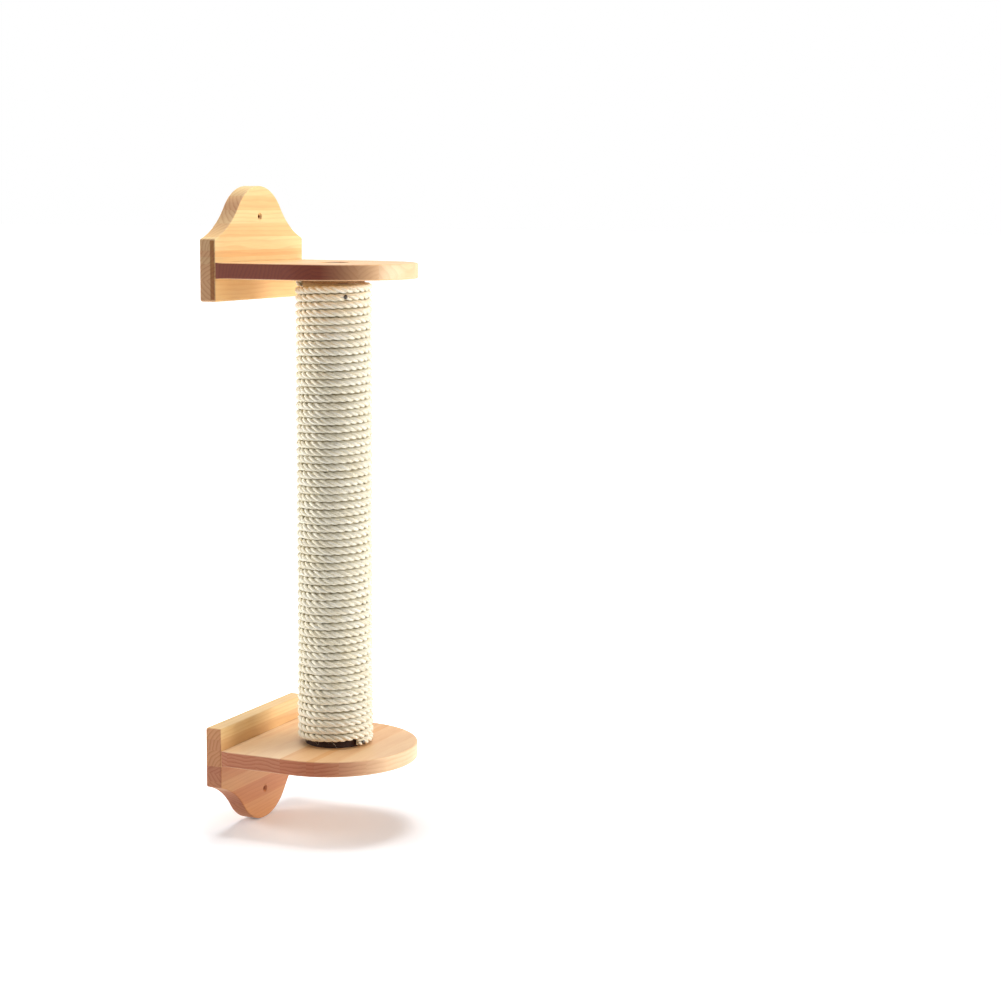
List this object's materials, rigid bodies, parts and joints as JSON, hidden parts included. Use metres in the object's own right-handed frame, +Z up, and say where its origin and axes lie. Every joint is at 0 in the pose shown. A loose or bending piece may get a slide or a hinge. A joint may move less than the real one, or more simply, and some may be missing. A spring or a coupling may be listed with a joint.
{
  "type": "wall-mounted cat scratching post",
  "caption": "Wall-mounted scratching post: a sisal-wound post bolted between D-shaped wooden shelves that stand out from bell-topped wall plates.",
  "frame": {"origin": "on the back face of the upper wall plate, on its centre line, level with the middle of the upper shelf", "axes": "+Z up, +Y into the wall, so the shelves stand out along -Y; +X to the right seen from in front"},
  "size_m": [0.2, 0.2122, 0.75],
  "materials": {
    "pine": "planed edge-glued pine, oiled",
    "plywood": "bare plywood",
    "paper": "wound kraft paper tube",
    "sisal": "bare three-strand sisal",
    "zinc": "bright zinc plate",
    "tack_steel": "blued"
  },
  "bodies": {
    "root": {"upper_wall_plate": "pine", "lower_wall_plate": "pine", "upper_shelf": "pine", "lower_shelf": "pine", "upper_left_shelf_screw": "zinc", "upper_right_shelf_screw": "zinc", "lower_left_shelf_screw": "zinc", "lower_right_shelf_screw": "zinc", "post_core_tube": "paper", "upper_end_plug": "plywood", "lower_end_plug": "plywood", "upper_insert_nut": "zinc", "lower_insert_nut": "zinc", "upper_washer": "zinc", "lower_washer": "zinc", "upper_post_bolt": "zinc", "lower_post_bolt": "zinc", "sisal_rope": "sisal", "upper_rope_tack": "tack_steel", "lower_rope_tack": "tack_steel"}
  },
  "joints": []
}
